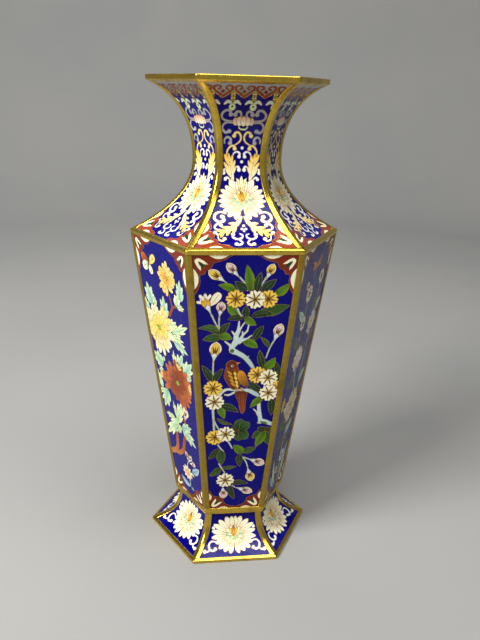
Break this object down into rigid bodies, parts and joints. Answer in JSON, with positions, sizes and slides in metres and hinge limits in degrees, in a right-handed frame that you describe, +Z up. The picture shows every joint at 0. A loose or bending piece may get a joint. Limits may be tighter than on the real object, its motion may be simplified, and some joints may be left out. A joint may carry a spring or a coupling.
{
  "type": "cloisonne vase",
  "caption": "Six-sided cloisonne enamel vase with a flared neck, a body tapering to the waist, a spread foot and gilt brass edges.",
  "frame": {"origin": "middle of the foot's underside, on the vase's axis", "axes": "+Z up along the vase's axis, -Y out through the front panel, corners on the X axis"},
  "size_m": [0.1308, 0.1132, 0.305],
  "materials": {
    "copper": "raised sheet copper, browned with age, under the enamel",
    "neck_enamel": "glossy cobalt cloisonne enamel with scrolls, a lotus and a heart-scroll border, gilt wires",
    "body_enamel": "glossy cobalt cloisonne enamel with birds, insects, flowers and leaves, gilt wires",
    "foot_enamel": "glossy cobalt cloisonne enamel with a lotus and curls, gilt wires",
    "counter_enamel": "plain turquoise counter-enamel with small pits",
    "gilt_brass": "worn gilt brass, polished on the edges, with brown tarnish"
  },
  "bodies": {
    "root": {"neck_plate_front": "copper", "neck_plate_front_right": "copper", "neck_plate_back_right": "copper", "neck_plate_back": "copper", "neck_plate_back_left": "copper", "neck_plate_front_left": "copper", "body_plate_front": "copper", "body_plate_front_right": "copper", "body_plate_back_right": "copper", "body_plate_back": "copper", "body_plate_back_left": "copper", "body_plate_front_left": "copper", "foot_skirt": "copper", "floor_plate": "copper", "neck_panel_front": "neck_enamel", "neck_panel_front_right": "neck_enamel", "neck_panel_back_right": "neck_enamel", "neck_panel_back": "neck_enamel", "neck_panel_back_left": "neck_enamel", "neck_panel_front_left": "neck_enamel", "body_panel_front": "body_enamel", "body_panel_front_right": "body_enamel", "body_panel_back_right": "body_enamel", "body_panel_back": "body_enamel", "body_panel_back_left": "body_enamel", "body_panel_front_left": "body_enamel", "foot_panel_front": "foot_enamel", "foot_panel_front_right": "foot_enamel", "foot_panel_back_right": "foot_enamel", "foot_panel_back": "foot_enamel", "foot_panel_back_left": "foot_enamel", "foot_panel_front_left": "foot_enamel", "body_lining": "counter_enamel", "neck_lining": "counter_enamel", "underside_enamel": "counter_enamel", "neck_rib_front_right": "gilt_brass", "neck_rib_right": "gilt_brass", "neck_rib_back_right": "gilt_brass", "neck_rib_back_left": "gilt_brass", "neck_rib_left": "gilt_brass", "neck_rib_front_left": "gilt_brass", "body_bar_front_right": "gilt_brass", "body_bar_right": "gilt_brass", "body_bar_back_right": "gilt_brass", "body_bar_back_left": "gilt_brass", "body_bar_left": "gilt_brass", "body_bar_front_left": "gilt_brass", "foot_rib_front_right": "gilt_brass", "foot_rib_right": "gilt_brass", "foot_rib_back_right": "gilt_brass", "foot_rib_back_left": "gilt_brass", "foot_rib_left": "gilt_brass", "foot_rib_front_left": "gilt_brass", "rim_lip": "gilt_brass", "shoulder_band": "gilt_brass", "waist_band": "gilt_brass", "foot_band": "gilt_brass"}
  },
  "joints": []
}
